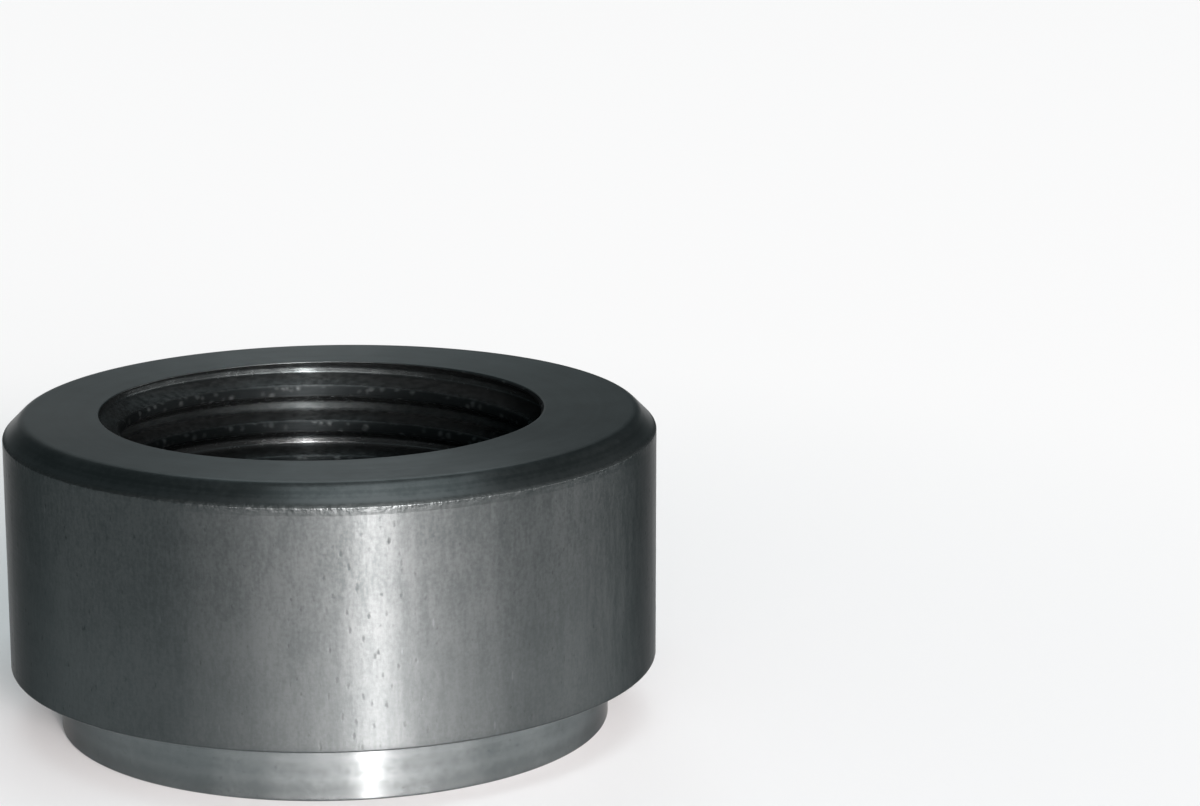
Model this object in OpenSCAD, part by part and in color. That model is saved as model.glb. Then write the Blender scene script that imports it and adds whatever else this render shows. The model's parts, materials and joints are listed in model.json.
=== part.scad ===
// Weld-in oxygen sensor bung: a short steel ring turned from round bar, tapped right through.
// A chamfered face takes the sensor's gasket, and a stepped pilot drops into a hole in the exhaust
// pipe, so that the shoulder above it can be welded round. It stands on the end of the pilot.

/* [Ring] */
// Outside diameter of the ring, the size of the bar it is cut from
ring_d = 25.4; // [23.4:0.1:40]
// Height of the ring, from the weld shoulder up to the sensor face
ring_h = 9.9; // [5:0.1:24]
// Chamfer round the sensor face
face_chamfer = 0.75; // [0.2:0.05:2]
// Edge break round the bottom of the ring, where the weld starts
shoulder_break = 0.06; // [0.02:0.02:0.4]

/* [Pilot] */
// Outside diameter of the pilot step, a loose fit in the hole in the pipe
pilot_d = 21.6; // [19.6:0.1:24]
// Height of the pilot step, about one pipe wall and its curve
pilot_h = 2.5; // [1:0.1:8]
// Edge break round the end of the pilot
pilot_break = 0.06; // [0.02:0.02:0.5]
// Fillet that the tool nose leaves between the pilot and the weld shoulder
corner_fillet = 0.3; // [0.1:0.05:0.5]

/* [Thread] */
// Nominal diameter of the sensor thread
thread_d = 18; // [12:0.5:19]
// Pitch of the sensor thread
thread_pitch = 1.5; // [1:0.25:2]
// Edge break of the bore at both ends, so light that the thread starts at the face
mouth_break = 0.15; // [0.05:0.05:0.7]

/* [Hidden] */
// Facets of a round form on screen
round_fn = 128;
// Bare turned steel
steel_colour = [0.33, 0.36, 0.37];
// A 60 degree thread is cut to five eighths of the height of its sharp V
sharp_v_h = thread_pitch * sqrt(3) / 2;
thread_depth = sharp_v_h * 5 / 8;
// The bore is the thread's minor diameter, the size that is drilled before tapping
bore_r = thread_d / 2 - thread_depth;
mouth_r = bore_r + mouth_break;
ring_r = ring_d / 2;
pilot_r = pilot_d / 2;
bung_h = pilot_h + ring_h;

// Half section of the ring, from the bore outwards, with the pilot's corner still a straight slope
module straight_section() {
    polygon([
        [mouth_r, 0],
        [pilot_r - pilot_break, 0],
        [pilot_r, pilot_break],
        [pilot_r, pilot_h - corner_fillet],
        [pilot_r + corner_fillet, pilot_h],
        [ring_r - shoulder_break, pilot_h],
        [ring_r, pilot_h + shoulder_break],
        [ring_r, bung_h - face_chamfer],
        [ring_r - face_chamfer, bung_h],
        [mouth_r, bung_h],
        [bore_r, bung_h - mouth_break],
        [bore_r, mouth_break]
    ]);
}

// The section as turned, with the tool nose's round corner above the pilot
module turned_section() {
    difference() {
        straight_section();
        translate([pilot_r + corner_fillet, pilot_h - corner_fillet])
            circle(r = corner_fillet, $fn = round_fn);
    }
}

// One piece, turned and bored on one axis
module bung() {
    color(steel_colour)
        rotate_extrude($fn = round_fn)
            turned_section();
}

bung();
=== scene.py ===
# %% [markdown]
# # An oxygen sensor bung
# A bung is a short steel ring that is welded over a hole in an exhaust pipe, so that an oxygen sensor
# can be screwed in. It is cut from round bar: the outside keeps the skin of the bar, the two ends and
# the pilot step are turned on a lathe, and the bore is tapped right through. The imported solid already
# has the ring at its true size, with a plain bore. This lesson adds what the solid leaves out: the
# thread, the small rounds on every edge, and the finish that each tool leaves on the steel.

# %% Load the solid as a fixed frame
import json
import math

import bpy
import numpy as np
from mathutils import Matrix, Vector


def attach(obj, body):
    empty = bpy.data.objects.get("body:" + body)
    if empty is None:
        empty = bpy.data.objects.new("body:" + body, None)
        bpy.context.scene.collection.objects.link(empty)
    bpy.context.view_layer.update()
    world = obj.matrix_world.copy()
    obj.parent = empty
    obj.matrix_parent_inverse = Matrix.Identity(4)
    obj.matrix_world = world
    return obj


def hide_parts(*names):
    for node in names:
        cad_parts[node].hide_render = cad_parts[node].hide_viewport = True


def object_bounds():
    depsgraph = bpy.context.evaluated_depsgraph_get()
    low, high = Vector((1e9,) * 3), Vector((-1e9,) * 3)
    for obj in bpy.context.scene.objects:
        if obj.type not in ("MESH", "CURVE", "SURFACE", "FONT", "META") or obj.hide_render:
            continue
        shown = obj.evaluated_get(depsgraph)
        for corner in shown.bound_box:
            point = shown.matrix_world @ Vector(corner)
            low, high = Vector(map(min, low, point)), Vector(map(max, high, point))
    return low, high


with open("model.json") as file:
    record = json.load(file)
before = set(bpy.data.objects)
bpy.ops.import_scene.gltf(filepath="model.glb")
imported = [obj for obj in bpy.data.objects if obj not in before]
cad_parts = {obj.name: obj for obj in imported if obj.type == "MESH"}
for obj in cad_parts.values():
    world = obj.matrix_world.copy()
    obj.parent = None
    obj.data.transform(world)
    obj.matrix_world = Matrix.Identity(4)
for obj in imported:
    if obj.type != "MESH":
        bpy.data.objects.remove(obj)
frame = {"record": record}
cad_low, cad_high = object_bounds()
print("CAD box in metres:", tuple(cad_low), tuple(cad_high))

# %% [markdown]
# ## The sizes
# The main sizes are read from the frame, so the dressed ring can't drift away from the solid. Its box
# gives the ring's radius and height, and its mounts give the bore, the pilot and the weld shoulder. The
# small edge breaks have no mount of their own, so they are named here once, in metres.

# %% Sizes of the ring
MM = 0.001
mounts = {mount["name"]: mount for mount in frame["record"]["mounts"]}
bore_r = mounts["sensor_thread"]["dims"]["r_mm"] * MM
pilot_r = mounts["pilot"]["dims"]["r_mm"] * MM
pilot_h = mounts["weld_shoulder"]["pos_m"][2]
ring_r = (cad_high.x - cad_low.x) / 2
bung_h = cad_high.z
face_chamfer = 0.75 * MM
shoulder_break = 0.06 * MM
pilot_break = 0.06 * MM
corner_fillet = 0.3 * MM
mouth_break = 0.15 * MM
print(f"ring {2 * ring_r / MM:.2f} mm across, {bung_h / MM:.2f} mm high, bore {2 * bore_r / MM:.2f} mm")

# %% [markdown]
# ## The form of the thread
# Cut through, a metric thread is a row of teeth with flanks at 60 degrees to each other and flat crests
# and roots, here about a fifth and a sixth of the pitch wide. One could sweep that tooth along a helix,
# or use a screw modifier, but the ends would then stick out of the ring. A bore's wall is simpler seen as
# a height map on a cylinder: for each angle and height there is just one radius. The thread starts right
# at the face, so the edge of the mouth isn't round: it wanders between crest and root.

# %% The radius of the tapped bore
FULL_TURN = 2 * math.pi
FLANK_SLOPE = math.sqrt(3)
thread_pitch = 1.5 * MM
sharp_v = thread_pitch * FLANK_SLOPE / 2
thread_depth = sharp_v * 5 / 8
root_flat = thread_pitch / 6
# The turn, from +X towards +Y, at which the groove's root meets the sensor face
groove_out = math.radians(205)
first_crest_z = bung_h - thread_pitch * (0.5 + groove_out / FULL_TURN)
mouth_r = bore_r + mouth_break
# How far the corners of crest and root, and the thread's join to the edge break, are rounded
crest_soft, root_soft, mouth_blur = 0.04 * MM, 0.02 * MM, 0.03 * MM


def soft_hinge(rise, soft):
    """Zero before the hinge and rise after it, with a corner rounded over soft: soft times the log of
    one plus e to the power of rise over soft."""
    return soft * np.logaddexp(0, rise / soft)


def thread_radius(turns):
    """A groove with a flat root and flanks 60 degrees apart, and the plain bore where the groove would be
    shallower, with soft corners. turns counts pitches along the axis, whole in the middle of a crest."""
    from_root = thread_pitch * np.abs(turns - np.floor(turns) - 0.5)
    past_flat = FLANK_SLOPE * (from_root - root_flat / 2)
    groove = bore_r + thread_depth - soft_hinge(past_flat, root_soft)
    return bore_r + soft_hinge(groove - bore_r, crest_soft)


def bore_radius(angle, height):
    """The larger of the thread and the 45 degree edge break at the nearer mouth, with a soft join:
    half of the sum plus the length of the difference and a small blur."""
    thread = thread_radius((height - first_crest_z) / thread_pitch - angle / FULL_TURN)
    edge = mouth_r - np.minimum(height, bung_h - height)
    return (thread + edge + np.hypot(thread - edge, mouth_blur)) / 2


print(f"thread {2 * (bore_r + thread_depth) / MM:.2f} mm across its roots")
print(f"thread {bung_h / thread_pitch:.1f} turns long")

# %% [markdown]
# ## A grid that follows the helix
# Level rows of points would cross each crest at a slant and give it a sawtooth edge. These rows climb
# with the thread instead: each row keeps one place on the tooth, so crests and roots are clean lines.
# After a full turn a row lies one pitch higher, and the last column is joined to the first with that
# shift. Where a row runs out through an end of the bore, its points are all the same point of the mouth.

# %% The thread's grid
columns = 192
rows_per_pitch = 40
arris_r = 0.04 * MM
thread_low, thread_high = arris_r, bung_h - arris_r
angle = np.arange(columns) * (FULL_TURN / columns)
first_row = math.floor(((thread_low - first_crest_z) / thread_pitch - 1) * rows_per_pitch)
last_row = math.ceil((thread_high - first_crest_z) / thread_pitch * rows_per_pitch)
row_turns = np.arange(first_row, last_row + 1)[:, None] / rows_per_pitch
thread_z = first_crest_z + thread_pitch * (row_turns + angle / FULL_TURN)
# A point nearer to a mouth than this would make a sliver, so it becomes the mouth's own point
nearest = 0.3 * thread_pitch / rows_per_pitch
inside = (thread_z > thread_low + nearest) & (thread_z < thread_high - nearest)
thread_angle = np.broadcast_to(angle, thread_z.shape)[inside]
thread_z_inside = thread_z[inside]
thread_r = bore_radius(thread_angle, thread_z_inside)
mouth_top = bore_radius(angle, thread_high)
mouth_bottom = bore_radius(angle, thread_low)
print(f"thread grid: {len(thread_r)} points")
print(f"top mouth: radius {mouth_top.min() / MM:.2f} to {mouth_top.max() / MM:.2f} mm")

# %% [markdown]
# ## The turned outline
# Everything outside the bore is one outline turned about the axis. Real edges are never quite sharp, and
# the light that runs along them is what makes steel look like steel, so each corner gets a small round.
# A bevel modifier could do that, but here the corners are known, so the rounds are worked out: an arc
# that touches both straight sides. Points crowd towards the arcs, which keeps the flats flat.

# %% The outline from the face to the pilot's end
edge_r = 0.07 * MM
chamfer_edge_r = 0.2 * MM
face_edge_r = 0.5 * MM
arc_steps = 5
straight_steps = 10
chamfer_foot = (ring_r, bung_h - face_chamfer)
outline_corners = np.array([
    (mouth_r, bung_h),
    (ring_r - face_chamfer, bung_h),
    chamfer_foot,
    (ring_r, pilot_h + shoulder_break),
    (ring_r - shoulder_break, pilot_h),
    (pilot_r, pilot_h),
    (pilot_r, pilot_break),
    (pilot_r - pilot_break, 0),
    (mouth_r, 0),
])
# One radius for each corner between the two mouths
corner_r = np.array([
    face_edge_r, chamfer_edge_r, edge_r, edge_r, corner_fillet, edge_r, edge_r,
])


def crowded(steps):
    """Places between 0 and 1 that crowd towards both ends: half of one minus the cosine."""
    return (1 - np.cos(math.pi * np.arange(1, steps) / steps)) / 2


def rounded_outline(corners, radii):
    """Arcs and straights through the corners. An arc's centre lies on the corner's bisector, and its
    points swing evenly from one touching point to the other."""
    back = corners[:-2] - corners[1:-1]
    back /= np.linalg.norm(back, axis=1, keepdims=True)
    ahead = corners[2:] - corners[1:-1]
    ahead /= np.linalg.norm(ahead, axis=1, keepdims=True)
    half = np.arccos((back * ahead).sum(1)) / 2
    reach = (radii / np.tan(half))[:, None]
    start, end = corners[1:-1] + back * reach, corners[1:-1] + ahead * reach
    centre = corners[1:-1] + (back + ahead) * (radii / (2 * np.cos(half) * np.sin(half)))[:, None]
    swing = (math.pi - 2 * half)[:, None, None]
    along = np.linspace(0, 1, arc_steps + 1)[None, :, None]
    from_start = np.sin((1 - along) * swing) * (start - centre)[:, None]
    to_end = np.sin(along * swing) * (end - centre)[:, None]
    arcs = centre[:, None] + (from_start + to_end) / np.sin(swing)
    place = crowded(straight_steps)[None, :, None]
    straights = end[:-1, None] + (start[1:] - end[:-1])[:, None] * place
    joined = np.concatenate([arcs[:-1], straights], axis=1).reshape(-1, 2)
    return np.concatenate([joined, arcs[-1]])


outline = rounded_outline(outline_corners, corner_r)
print(f"outline: {len(outline)} points")

# %% [markdown]
# ## From the mouths to the outline
# The two flat ends join a mouth that wanders to an edge that is round. Each is a fan of straight lines
# from the mouth's edge outwards, with a tiny quarter round where the mouth meets the flat.

# %% The skin's grid, from the top mouth round to the bottom mouth
mouth_steps = 4
quarter = np.linspace(0, math.pi / 2, mouth_steps + 1)[1:, None]
fan = crowded(straight_steps)[:, None]
mouth_arc = arris_r * (1 - np.cos(quarter))
mouth_rise = np.broadcast_to(arris_r * np.sin(quarter), (mouth_steps, columns))
face_r = mouth_top + arris_r + (outline[0, 0] - mouth_top - arris_r) * fan
base_r = outline[-1, 0] + (mouth_bottom + arris_r - outline[-1, 0]) * fan
outline_r, outline_z = (np.broadcast_to(row[:, None], (len(row), columns)) for row in outline.T)
skin_r = np.concatenate([
    mouth_top + mouth_arc, face_r, outline_r, base_r, (mouth_bottom + mouth_arc)[::-1],
])
skin_z = np.concatenate([
    thread_high + mouth_rise, np.full_like(face_r, bung_h), outline_z,
    np.zeros_like(base_r), (thread_low - mouth_rise)[::-1],
])
print(f"skin grid: {skin_r.shape[0]} rows of {columns}")

# %% [markdown]
# ## One closed shell
# The thread and the skin share the points of the two mouths, so the ring is one watertight shell. Each
# grid is a table of point numbers, and a face is made from each square of that table. A square that has
# shrunk to a triangle where a thread row runs out keeps three corners, and one with no area is dropped.

# %% Join the grids
inside_count = len(thread_r)
top_ring = inside_count + np.arange(columns)
bottom_ring = top_ring + columns
skin_numbers = bottom_ring[-1] + 1 + np.arange(skin_r.size).reshape(skin_r.shape)
thread_numbers = np.where(thread_z > bung_h / 2, top_ring, bottom_ring)
thread_numbers[inside] = np.arange(inside_count)
shifted = np.concatenate([thread_numbers[rows_per_pitch:, 0], np.repeat(top_ring[0], rows_per_pitch)])
thread_table = np.column_stack([thread_numbers, shifted])
skin_table = np.vstack([top_ring, skin_numbers, bottom_ring])
skin_table = np.column_stack([skin_table, skin_table[:, 0]])
point_r = np.concatenate([thread_r, mouth_top, mouth_bottom, skin_r.ravel()])
point_angle = np.concatenate([thread_angle, angle, angle, np.tile(angle, len(skin_r))])
point_z = np.concatenate([
    thread_z_inside, np.full(columns, thread_high), np.full(columns, thread_low), skin_z.ravel(),
])
points = np.column_stack([point_r * np.cos(point_angle), point_r * np.sin(point_angle), point_z])


def squares(table):
    """Corners of each square: this row, the next row, the next row's next column, this row's next."""
    return np.stack([table[:-1, :-1], table[1:, :-1], table[1:, 1:], table[:-1, 1:]], -1).reshape(-1, 4)


def whole_and_cut(corners):
    """Squares with four different corners, and triangles from those where two neighbours are the same."""
    same = corners == np.roll(corners, -1, axis=1)
    whole = corners[~same.any(1)]
    cut = corners[same.sum(1) == 1]
    kept = ~(cut == np.roll(cut, -1, axis=1))
    return whole, cut[kept].reshape(-1, 3)


thread_whole, thread_cut = whole_and_cut(squares(thread_table))
skin_faces = squares(skin_table)
faces = thread_whole.tolist() + thread_cut.tolist() + skin_faces.tolist()
print(f"{len(points)} points, {len(faces)} faces")

# %% [markdown]
# ## Five finishes on one ring
# Each face is told which tool made it: the drawn bar's skin on the outside of the ring, the lathe on the
# face, the chamfer and the pilot, and the tap in the bore. The chamfer's outer edge also gets a number,
# one on the edge itself and fading over about a tenth of a millimetre. That edge is knocked and gets nicks
# when rings lie in a bin together, and the same number darkens its colour as painted shade, which dims
# the line of light that the edge's round catches.

# %% The mesh with its finish numbers
BAR, FACED, CHAMFERED, TURNED, TAPPED = range(5)
mesh = bpy.data.meshes.new("threaded_bung")
mesh.from_pydata(points.tolist(), [], faces)
# A face lies on the wall, or on the flat, when it is nearer than this
flat_within = edge_r / 4
on_wall = point_r[skin_faces].min(1) > ring_r - flat_within
above_wall = point_z[skin_faces].min(1) > bung_h / 2
on_slope = point_z[skin_faces].max(1) < bung_h - flat_within
face_finish = np.concatenate([
    np.full(len(thread_whole) + len(thread_cut), TAPPED),
    np.select([on_wall, above_wall & on_slope, above_wall], [BAR, CHAMFERED, FACED], TURNED),
])
mesh.polygons.foreach_set("material_index", face_finish.astype(np.int32))
mesh.polygons.foreach_set("use_smooth", np.ones(len(faces), bool))
# The chamfer's outer edge: where it has nicks, and where painted shade darkens its colour to dim its line
# of light
nick_and_shade_width = 0.12 * MM
foot_r, foot_z = chamfer_foot
gap = np.hypot(point_r - foot_r, point_z - foot_z)
nicked = mesh.attributes.new("nicked", "FLOAT", "POINT")
nicked.data.foreach_set("value", np.exp(-(gap / nick_and_shade_width) ** 2).astype(np.float32))
mesh.validate()
mesh.update()
print("faces of each finish:", np.bincount(face_finish).tolist())

# %% [markdown]
# ## Tie the ring to the frame
# The mesh becomes an object that rides on the solid's one body and stands in for its one piece, which
# is hidden.

# %% The dressed ring
bung = bpy.data.objects.new("threaded_bung", mesh)
bpy.context.scene.collection.objects.link(bung)
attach(bung, "root")
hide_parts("bung")
triangles = sum(len(face.vertices) - 2 for face in mesh.polygons)
print(f"threaded_bung: {triangles} triangles")

# %% [markdown]
# ## Writing shaders as sums
# Blender's shaders are graphs of nodes, which are long to write one by one. A small class makes a socket
# behave like a number in Python, so a mask can be written as a sum, and each sign adds its Math node.
# Every other kind of node comes from one method: its settings first, then its sockets.

# %% A socket that can be added and multiplied
class Wire:
    """One output of a node. Signs between wires and numbers lay Math nodes in the same finish."""

    def __init__(self, finish, socket):
        self.finish = finish
        self.socket = socket

    def maths(self, operation, first, second):
        return self.finish.node("ShaderNodeMath", {"operation": operation}, {0: first, 1: second})

    def __add__(self, other):
        return self.maths("ADD", self, other)

    def __radd__(self, other):
        return self.maths("ADD", other, self)

    def __sub__(self, other):
        return self.maths("SUBTRACT", self, other)

    def __rsub__(self, other):
        return self.maths("SUBTRACT", other, self)

    def __mul__(self, other):
        return self.maths("MULTIPLY", self, other)

    def __rmul__(self, other):
        return self.maths("MULTIPLY", other, self)


class Finish:
    """A material with one Principled shader, and the one way to add any other node to it."""

    def __init__(self, name):
        self.material = bpy.data.materials.new(name)
        self.material.use_nodes = True
        self.tree = self.material.node_tree
        self.shader = self.tree.nodes["Principled BSDF"]

    def fill(self, node, sockets):
        """Link each wire to its socket, and write each number or colour into its own."""
        for name, value in sockets.items():
            if isinstance(value, Wire):
                self.tree.links.new(value.socket, node.inputs[name])
            else:
                node.inputs[name].default_value = value

    def node(self, kind, settings, sockets, output=0):
        """A new node with its settings and sockets filled. One of its outputs comes back as a wire."""
        made = self.tree.nodes.new(kind)
        for name, value in settings.items():
            setattr(made, name, value)
        self.fill(made, sockets)
        return Wire(self, made.outputs[output])


print("finishes are written as sums of wires")

# %% [markdown]
# ## Places on the ring
# Patterns read Object coordinates in millimetres, so a grain of a tenth of a millimetre is written as 10
# to the millimetre and stays put when the ring is moved. A UV map could place them too, but it would
# need seams, and a ring has good measures of its own: radius from its axis and height above its foot.

# %% Coordinates in millimetres
def place_mm(finish, scale=(1, 1, 1)):
    """Object coordinates in millimetres, times scale: a number below 1 draws a pattern out that way."""
    per_metre = tuple(part / MM for part in scale)
    place = finish.node("ShaderNodeTexCoord", {}, {}, "Object")
    return finish.node("ShaderNodeVectorMath", {"operation": "MULTIPLY"}, {0: place, 1: per_metre})


def radius_mm(finish):
    """Distance from the axis: the length of the place with its height taken out."""
    level_place = place_mm(finish, (1, 1, 0))
    return finish.node("ShaderNodeVectorMath", {"operation": "LENGTH"}, {0: level_place}, "Value")


def along_mm(finish, axis):
    """The place along one axis: X across the ring, or Z for the height above the pilot's end."""
    return finish.node("ShaderNodeSeparateXYZ", {}, {0: place_mm(finish)}, axis)


print("patterns are placed in millimetres")

# %% [markdown]
# ## Patterns
# A few patterns make every mark on the steel. Soft noise gives mottle and clouds, noise along one number
# gives lines round the axis, cells give pits and dots, and a smooth step turns any of them into a mask.
# Pictures of steel could be used instead, but noise has no seams, and its size can be set in millimetres.

# %% Noise, spots and masks
def grain(finish, place, per_mm, detail=2.0, rough=0.5):
    """Soft noise around a half, with per_mm lumps to the millimetre."""
    sockets = {"Vector": place, "Scale": per_mm, "Detail": detail, "Roughness": rough}
    return finish.node("ShaderNodeTexNoise", {}, sockets)


def rings(finish, across, per_mm, detail=2.0):
    """Noise along one number only, so it draws lines round the axis."""
    settings = {"noise_dimensions": "1D"}
    return finish.node("ShaderNodeTexNoise", settings, {"W": across, "Scale": per_mm, "Detail": detail})


def mask(finish, value, low, high):
    """0 below low and 1 above high, with a smooth step between."""
    settings = {"interpolation_type": "SMOOTHSTEP"}
    sockets = {"Value": value, "From Min": low, "From Max": high}
    return finish.node("ShaderNodeMapRange", settings, sockets)


def spots(finish, place, per_mm, low, high, ragged=0.0):
    """One soft spot round the point of each cell: 1 nearer than low and 0 beyond high, in cells. ragged is
    added to the distance, so it frays a spot's outline or leaves a spot out."""
    near = finish.node("ShaderNodeTexVoronoi", {}, {"Vector": place, "Scale": per_mm})
    return 1 - mask(finish, near + ragged, low, high)


print("patterns: grain, rings, spots and masks")

# %% [markdown]
# ## Steel colours and dents
# Bare steel mirrors its room, so its colour only says how much it gives back: a dark grey, a touch cool,
# from the soot in torn metal to the bright cut of the lathe. Light that grazes worn steel is scattered,
# so its tint is darker than white too. Dents are a few hundredths of a millimetre deep at most. They tilt
# the normal and don't move any points, which would take a far finer mesh.

# %% Colours, blends and dents
SOOT = (0.014, 0.018, 0.019, 1)
PIT = (0.024, 0.031, 0.032, 1)
DARK_STEEL = (0.044, 0.052, 0.053, 1)
STEEL = (0.067, 0.076, 0.0775, 1)
WORN_STEEL = (0.084, 0.096, 0.098, 1)
FRESH_STEEL = (0.124, 0.142, 0.145, 1)
BRIGHT_STEEL = (0.16, 0.181, 0.185, 1)
# Tints of grazing light on turned ends, on the bar's skin and in the thread
EDGE_TINT = (0.55, 0.55, 0.55, 1)
SKIN_TINT = (0.4, 0.4, 0.4, 1)
THREAD_TINT = (0.25, 0.25, 0.25, 1)
# A quarter turn of the shader's grain, so light spreads along the axis or the radius and not round
GRAIN_TURN = 0.25
# A nick in an edge is this many times as deep as the other dents
NICK_DEPTH = 7


def blend(finish, share, first, second):
    """A colour that goes from first to second as share goes from 0 to 1."""
    return finish.node("ShaderNodeMix", {"data_type": "RGBA"}, {0: share, 6: first, 7: second}, 2)


def bumped(finish, height, depth_mm):
    """A normal tilted by a height map, of which 1 is depth_mm high."""
    sockets = {"Height": height, "Distance": depth_mm * MM, "Strength": 1.0}
    return finish.node("ShaderNodeBump", {}, sockets)


def nicked_and_shaded_edge(finish):
    """1 on the chamfer's outer edge, fading to 0 beside it: where it has nicks, and where painted shade
    darkens it.
    """
    return finish.node("ShaderNodeAttribute", {"attribute_name": "nicked"}, {}, "Fac")


def nicks(finish):
    """Dents along the chamfer's outer edge: noise where the edge has its nicks."""
    return grain(finish, place_mm(finish), per_mm=5) * nicked_and_shaded_edge(finish) * NICK_DEPTH


print("steel colours:", SOOT[:3], "to", BRIGHT_STEEL[:3])

# %% [markdown]
# ## The bar's skin
# Drawn bar is pulled through a die, which leaves fine lines and streaks along its length, a mottle, and
# small torn pits that gather in one band. Lines and streaks are noise drawn out in height, and pits are
# cells with frayed outlines. Such a surface spreads light more one way than the other, which is what the
# shader's anisotropy is for: it draws the image of a lamp out into a stripe from top to bottom.

# %% Finish of the ring's outside
def bar_skin():
    """Two steels mixed by lines, mottle, clouds and streaks, brighter low down as a painted reflection of
    the floor, with pits, scuffs and painted shade under the top edge.
    """
    finish = Finish("bar_skin")
    place, height, side = place_mm(finish), along_mm(finish, "Z"), along_mm(finish, "X")
    lines = grain(finish, place_mm(finish, (1, 1, 0.3)), per_mm=7, rough=0.6)
    mottle = grain(finish, place, per_mm=7, detail=3, rough=0.6)
    clouds = grain(finish, place, per_mm=0.5)
    streaks = grain(finish, place_mm(finish, (1, 1, 0.15)), per_mm=2.5)
    rounds = rings(finish, height, per_mm=9)
    # Painted reflection of the floor: 1 at the foot of the wall, fading out by 11 mm up
    painted_floor_reflection = 1 - mask(finish, height, low=3, high=11)
    torn_band = mask(finish, side, low=-1.0, high=1.2) - mask(finish, side, low=3.2, high=6.0)
    spared = 0.08 + mask(finish, grain(finish, place, per_mm=1.2), low=0.5, high=0.64) * 0.3
    ragged = (mottle - 0.5) * 0.3 + spared * (1 - torn_band)
    pits = spots(finish, place_mm(finish, (1, 1, 0.45)), per_mm=3.2, low=0.06, high=0.28, ragged=ragged)
    scuffs = spots(finish, place_mm(finish, (1, 1, 0.25)), per_mm=1.3, low=0.03, high=0.07)
    tone = lines * 0.25 + mottle * 0.35 + clouds * 0.2 + streaks * 0.2
    colour = blend(finish, mask(finish, tone, low=0.36, high=0.64), DARK_STEEL, STEEL)
    # Painted reflection: the wall's colour is made lighter towards its foot
    colour = blend(finish, painted_floor_reflection * 0.25, colour, FRESH_STEEL)
    # Pits darken the colour, and so does painted shade on the chamfer's outer edge, which dims its line of
    # light
    colour = blend(finish, pits * 0.2 + nicked_and_shaded_edge(finish) * 0.2, colour, PIT)
    colour = blend(finish, scuffs * 0.2, colour, BRIGHT_STEEL)
    rough = 0.35 + 0.12 * (streaks - 0.5) + 0.05 * (mottle - 0.5) + 0.05 * (rounds - 0.5) + 0.22 * pits
    dents = lines * 0.3 + mottle * 0.2 + rounds * 0.08 - pits * 0.3 + nicks(finish)
    finish.fill(finish.shader, {
        "Base Color": colour,
        "Metallic": 1.0,
        "Roughness": rough,
        "Anisotropic": 0.8,
        "Anisotropic Rotation": GRAIN_TURN,
        "Specular Tint": SKIN_TINT,
        "Normal": bumped(finish, dents, depth_mm=0.008),
    })
    return finish.material


mesh.materials.append(bar_skin())
print("finish", BAR, "is", mesh.materials[BAR].name)

# %% [markdown]
# ## Turned steel
# A lathe tool leaves a fine spiral, so marks run round the axis on the flat ends, the chamfer and the
# pilot alike. One number that changes across all of them, radius less part of the height, gives rings on
# every one, and a slow wander keeps them from being perfect circles. The face is handled and worn, the
# chamfer is darker, and the pilot is still as bright as it was cut, so one function makes all three.

# %% Finishes of the face, the chamfer and the pilot
def turned_steel(name, dark, light, rough, spread):
    """Two steels mixed by rings, clouds and mottle. spread is how far light is drawn out over the rings."""
    finish = Finish(name)
    place = place_mm(finish)
    wander = grain(finish, place, per_mm=0.4, detail=1)
    across = radius_mm(finish) - along_mm(finish, "Z") * 0.6 + wander * 0.06
    coarse = rings(finish, across, per_mm=2.5, detail=3)
    fine = rings(finish, across, per_mm=14)
    clouds = grain(finish, place, per_mm=0.6, detail=3)
    mottle = grain(finish, place, per_mm=4, detail=3, rough=0.6)
    specks = mask(finish, grain(finish, place, per_mm=6), low=0.66, high=0.74)
    tone = coarse * 0.35 + clouds * 0.35 + mottle * 0.3
    colour = blend(finish, mask(finish, tone, low=0.36, high=0.64), dark, light)
    # Specks darken the colour, and so does painted shade on the chamfer's outer edge, which dims its line
    # of light
    colour = blend(finish, specks * 0.25 + nicked_and_shaded_edge(finish) * 0.6, colour, PIT)
    dents = fine * 0.06 + coarse * 0.05 + nicks(finish)
    finish.fill(finish.shader, {
        "Base Color": colour,
        "Metallic": 1.0,
        "Roughness": rough + 0.03 * (coarse - 0.5) + 0.06 * (mottle - 0.5) + 0.35 * nicked_and_shaded_edge(finish),
        "Anisotropic": spread,
        "Anisotropic Rotation": GRAIN_TURN,
        "Specular Tint": EDGE_TINT,
        "Normal": bumped(finish, dents, depth_mm=0.008),
    })
    return finish.material


mesh.materials.append(turned_steel("faced_steel", STEEL, WORN_STEEL, rough=0.38, spread=0.6))
mesh.materials.append(turned_steel("chamfer_steel", DARK_STEEL, STEEL, rough=0.34, spread=0.6))
mesh.materials.append(turned_steel("turned_steel", FRESH_STEEL, BRIGHT_STEEL, rough=0.24, spread=0.92))
print("finishes", FACED, "to", TURNED, "are", [finish.name for finish in mesh.materials[FACED:]])
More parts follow.
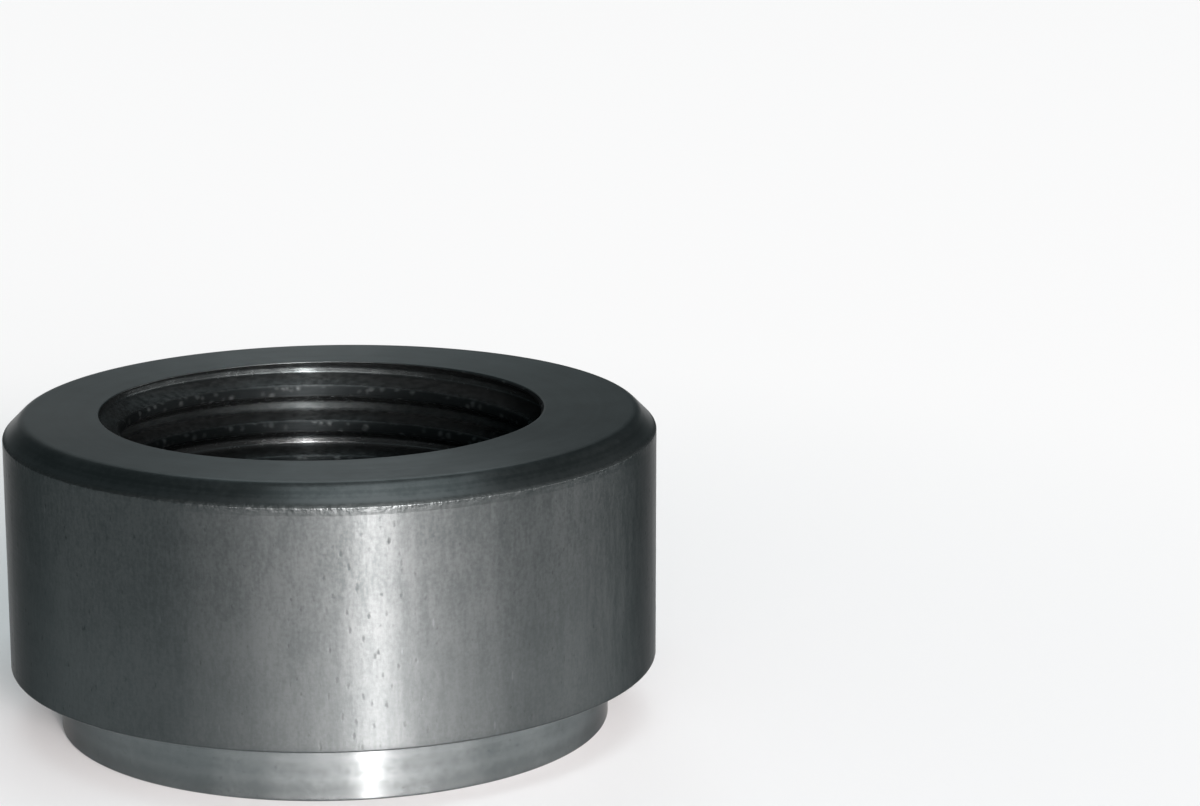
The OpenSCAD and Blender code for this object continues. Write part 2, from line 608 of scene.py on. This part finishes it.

# %% [markdown]
# ## The tapped thread
# The crests are what is left of the drilled hole: rough and dark, with dots of torn steel that catch the
# light. The tap cuts the flanks smooth, and the roots draw the light out into bright lines. The second
# turn is torn rougher. The roots are dark near the face and painted brighter in the turns below, as
# painted light where the front lamps barely reach. Depth into the groove tells crest and root apart, and
# depth below the face tells the turns apart. A trace of oil keeps it from being all metal.

# %% Finish of the thread
def tapped_steel():
    """Two steels mixed by torn patches, with dark crests, dots on them and roots that go from dark near the
    face to painted light deep down.
    """
    finish = Finish("tapped_steel")
    radius, height = radius_mm(finish), along_mm(finish, "Z")
    groove_depth = radius - bore_r / MM
    below_face = bung_h / MM - height
    crest = 1 - mask(finish, groove_depth, low=0.03, high=0.2)
    root = mask(finish, groove_depth, low=0.6, high=0.8)
    second_turn = mask(finish, below_face, low=1.2, high=1.5) - mask(finish, below_face, low=2.3, high=2.6)
    painted_deep_light = mask(finish, below_face, low=2.5, high=3.2)
    torn = grain(finish, place_mm(finish, (1, 1, 2)), per_mm=3.5, detail=3, rough=0.6)
    dots = spots(finish, place_mm(finish), per_mm=2.2, low=0.08, high=0.42, ragged=(torn - 0.5) * 0.5)
    rough_crest = crest * (1 - dots)
    lines = rings(finish, radius + height * 1.7, per_mm=9)
    # Painted light: roots are dark near the face and bright in the deep turns, which the front lamps barely
    # reach
    root_colour_with_painted_light = blend(finish, painted_deep_light, PIT, BRIGHT_STEEL)
    colour = blend(finish, mask(finish, torn, low=0.3, high=0.7), DARK_STEEL, WORN_STEEL)
    colour = blend(finish, root * 0.6, colour, root_colour_with_painted_light)
    colour = blend(finish, rough_crest * 0.95, colour, SOOT)
    root_rough = (0.04 + 0.2 * second_turn) * root
    dents = dots * crest * 0.3 + torn * 0.4 + lines * 0.1
    finish.fill(finish.shader, {
        "Base Color": colour,
        "Metallic": 0.9,
        "Roughness": 0.22 + 0.1 * (torn - 0.5) + root_rough + 0.18 * crest + 0.22 * rough_crest,
        "Anisotropic": 0.96,
        "Anisotropic Rotation": GRAIN_TURN,
        "Specular Tint": THREAD_TINT,
        "Normal": bumped(finish, dents, depth_mm=0.016),
    })
    return finish.material


mesh.materials.append(tapped_steel())
print("finish", TAPPED, "is", mesh.materials[TAPPED].name)

# %% [markdown]
# ## The stage
# The ring stands on a plain floor. The floor is one large disc, so every view ends on it.

# %% Floor
floor_r = 3.0
floor_sides = 96
turn = np.arange(floor_sides) * (FULL_TURN / floor_sides)
floor_mesh = bpy.data.meshes.new("floor")
rim = np.column_stack([floor_r * np.cos(turn), floor_r * np.sin(turn), np.zeros(floor_sides)])
floor_mesh.from_pydata(rim.tolist(), [], [list(range(floor_sides))])
floor = bpy.data.objects.new("floor", floor_mesh)
bpy.context.scene.collection.objects.link(floor)
print(f"floor: {2 * floor_r:.0f} m across")

# %% [markdown]
# ## Paper that fades to white
# Close to the ring the floor is matt paper, which takes the ring's shadow. Further out it fades to white,
# as the paper sweep of a studio does under lamps of its own. More lamps could do that, but they would
# light the ring too. So the white is mixed in only for rays that look at the floor, from the camera or by
# way of the steel, and the Light Path node tells those from the rays that carry soft light.

# %% The floor's finish
PAPER = (0.83, 0.865, 0.875, 1)
fade_start_mm, fade_end_mm = 16, 70
white_strength, white_share = 0.98, 0.8
looking_rays = ("Camera", "Glossy", "Transmission")
paper = Finish("pale_paper")
paper.fill(paper.shader, {"Base Color": PAPER, "Roughness": 0.9, "Specular IOR Level": 0.1})
matt = Wire(paper, paper.shader.outputs["BSDF"])
white = paper.node("ShaderNodeEmission", {}, {"Strength": white_strength})
seen = sum(paper.node("ShaderNodeLightPath", {}, {}, f"Is {kind} Ray") for kind in looking_rays)
far = mask(paper, radius_mm(paper), low=fade_start_mm, high=fade_end_mm)
share = mask(paper, seen, low=0, high=1) * far * white_share
mixed = paper.node("ShaderNodeMixShader", {}, {0: share, 1: matt, 2: white})
paper.fill(paper.tree.nodes["Material Output"], {"Surface": mixed})
floor_mesh.materials.append(paper.material)
print(f"floor fades to white from {fade_start_mm} to {fade_end_mm} mm out")

# %% [markdown]
# ## The light
# Steel shows its lamps more than itself, so each soft box is placed for where its image falls. One
# overhead lights the floor and the chamfer, and two at the back are mirrored by the flat face. A box is
# placed by its turn from the camera's direction, its height above the horizon and its distance.

# %% Boxes above and behind
def soft_box(name, turn_deg, rise_deg, distance, width, tall, radiance, colour=(1, 1, 1)):
    """An area lamp that faces the ring. Its power is radiance times pi times its area."""
    lamp = bpy.data.lights.new(name, "AREA")
    lamp.shape = "RECTANGLE"
    lamp.size = width
    lamp.size_y = tall
    lamp.energy = radiance * math.pi * width * tall
    lamp.color = colour
    holder = bpy.data.objects.new(name, lamp)
    turn, rise = math.radians(turn_deg), math.radians(rise_deg)
    holder.location = (
        distance * math.cos(rise) * math.sin(turn),
        -distance * math.cos(rise) * math.cos(turn),
        distance * math.sin(rise),
    )
    holder.rotation_euler = (math.pi / 2 - rise, 0, turn)
    holder.visible_camera = False
    bpy.context.scene.collection.objects.link(holder)


COOL = (0.94, 1, 1.02)
soft_box("overhead_box", 37, 74, distance=1.4, width=1.2, tall=0.45, radiance=2.6, colour=COOL)
soft_box("back_box", 194, 18, distance=1.3, width=0.6, tall=0.9, radiance=0.32)
soft_box("high_back_box", 184, 42, distance=1.4, width=0.5, tall=0.5, radiance=2.0, colour=COOL)
print("lamps:", [lamp.name for lamp in bpy.data.lights])

# %% [markdown]
# ## The boxes in front
# The stripe down the ring is the image of what stands in front of it. Boxes from narrow and bright to
# wide and dim stand behind one another there, so the stripe has a bright core and soft wings, and one
# more at the right lifts that side. All stand on the same low edge just above the floor's horizon.

# %% Boxes in front
WARM = (1, 0.88, 0.86)
front_far = 3.0
low_deg = 0.3
# Turn, half width and top of each box in degrees, and its radiance
front_boxes = (
    (18, 3.2, 20, 106),
    (19, 10, 20, 15),
    (19, 24, 18, 9),
    (20, 42, 12.7, 11),
    (25, 70, 12.7, 10),
    (108, 20, 12, 6.9),
)
for turn_deg, half_deg, high_deg, radiance in front_boxes:
    front_wide = 2 * front_far * math.tan(math.radians(half_deg))
    front_tall = 2 * front_far * math.tan(math.radians(high_deg - low_deg) / 2)
    rise_deg = (low_deg + high_deg) / 2
    front_name = f"front_box_{half_deg:.0f}"
    soft_box(front_name, turn_deg, rise_deg, front_far, front_wide, front_tall, radiance, WARM)
print("lamps:", [lamp.name for lamp in bpy.data.lights])

# %% [markdown]
# ## The room
# Between the images of its lamps the steel mirrors the room. A plain dim grey, a little cool, is enough.

# %% A dim room
ROOM = (0.165, 0.2, 0.206, 1)
world = bpy.data.worlds.new("dim_room")
world.use_nodes = True
world.node_tree.nodes["Background"].inputs["Color"].default_value = ROOM
bpy.context.scene.world = world
print("room colour:", ROOM[:3])

# %% [markdown]
# ## The camera
# The camera stands a little above the ring and to its right, so the ring shows at the left of the frame.
# Its tilt, distance and lens were worked out from the ellipses of the mouth, the face and the shoulder.

# %% Camera
look_down = math.radians(12.9)
camera_back, camera_right, camera_up = 0.1317, 0.01049, 0.00016
camera = bpy.data.cameras.new("camera")
camera.lens = 101.2
camera.sensor_width = 36
camera.clip_start = 0.01
eye = bpy.data.objects.new("camera", camera)
eye.location = (
    camera_right,
    camera_up * math.sin(look_down) - camera_back * math.cos(look_down),
    bung_h + camera_up * math.cos(look_down) + camera_back * math.sin(look_down),
)
eye.rotation_euler = (math.pi / 2 - look_down, 0, 0)
bpy.context.scene.collection.objects.link(eye)
bpy.context.scene.camera = eye
bpy.context.scene.view_settings.view_transform = "Standard"
print("camera at", tuple(eye.location))
